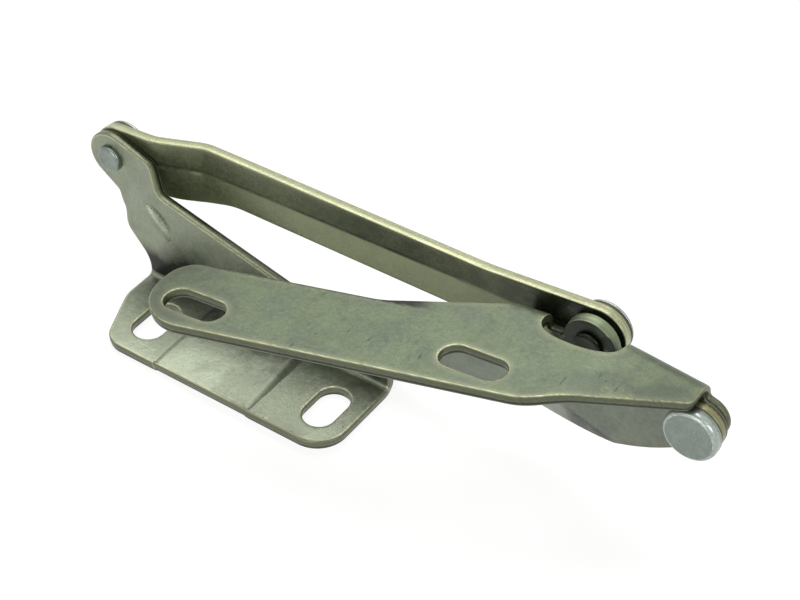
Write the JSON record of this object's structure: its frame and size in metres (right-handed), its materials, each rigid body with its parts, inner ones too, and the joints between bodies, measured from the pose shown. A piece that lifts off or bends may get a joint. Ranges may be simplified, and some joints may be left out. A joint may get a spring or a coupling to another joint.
{
  "type": "four-bar bonnet hinge",
  "caption": "Pressed-steel four-bar hinge: slotted base bracket, long and short links, and a slotted hood bracket that lifts clear of the base as it opens.",
  "frame": {"origin": "midway between the two slots of the base bracket, on the mounting face", "axes": "+X along the hinge from the base ear towards the hood end, +Y square to the upright sheets, from the free edge of the base flange towards the links, +Z away from the mounting face"},
  "size_m": [0.1944, 0.057, 0.0491],
  "materials": {
    "zinc_sheet": "satin zinc plate over pressed steel, faint green-yellow passivation",
    "zinc_sheet_olive": "satin zinc plate, heavier olive passivation",
    "zinc_rivet": "satin zinc plate, cooler and smoother than the sheets",
    "bush_bronze": "dull bronze-brown bearing bush",
    "zinc_washer": "satin zinc plate"
  },
  "bodies": {
    "base": {"base_bracket": "zinc_sheet", "rivet_base_ear": "zinc_rivet", "rivet_base_web": "zinc_rivet", "spacer_base_web": "zinc_washer"},
    "long_arm": {"long_link": "zinc_sheet_olive", "bush_long_link_base": "bush_bronze", "bush_long_link_hood": "bush_bronze"},
    "hood_plate": {"hood_bracket": "zinc_sheet", "rivet_hood_ear": "zinc_rivet", "rivet_hood_end": "zinc_rivet", "spacer_hood_ear": "zinc_washer"},
    "short_arm": {"short_link": "zinc_sheet", "bush_short_link_base": "bush_bronze", "bush_short_link_hood": "bush_bronze"}
  },
  "joints": [
    {"name": "open_hinge", "type": "hinge", "parent": "base", "child": "long_arm", "pos_m": [-0.057, 0.0235, 0.034], "axis": [0, -1, 0], "range_deg": [0, 30]},
    {"name": "hood_ear_pivot", "type": "hinge", "parent": "long_arm", "child": "hood_plate", "pos_m": [0.091, 0.0258, 0.0415], "axis": [0, 1, 0], "range_deg": [0, 68.91]},
    {"name": "hood_end_pivot", "type": "hinge", "parent": "hood_plate", "child": "short_arm", "pos_m": [0.1225, 0.0203, 0.0343], "axis": [0, -1, 0], "range_deg": [0, 77.61]}
  ],
  "couplings": [
    {"joint": "hood_ear_pivot", "follows": "open_hinge", "ratio": 2.2968},
    {"joint": "hood_end_pivot", "follows": "open_hinge", "ratio": 2.5866}
  ]
}
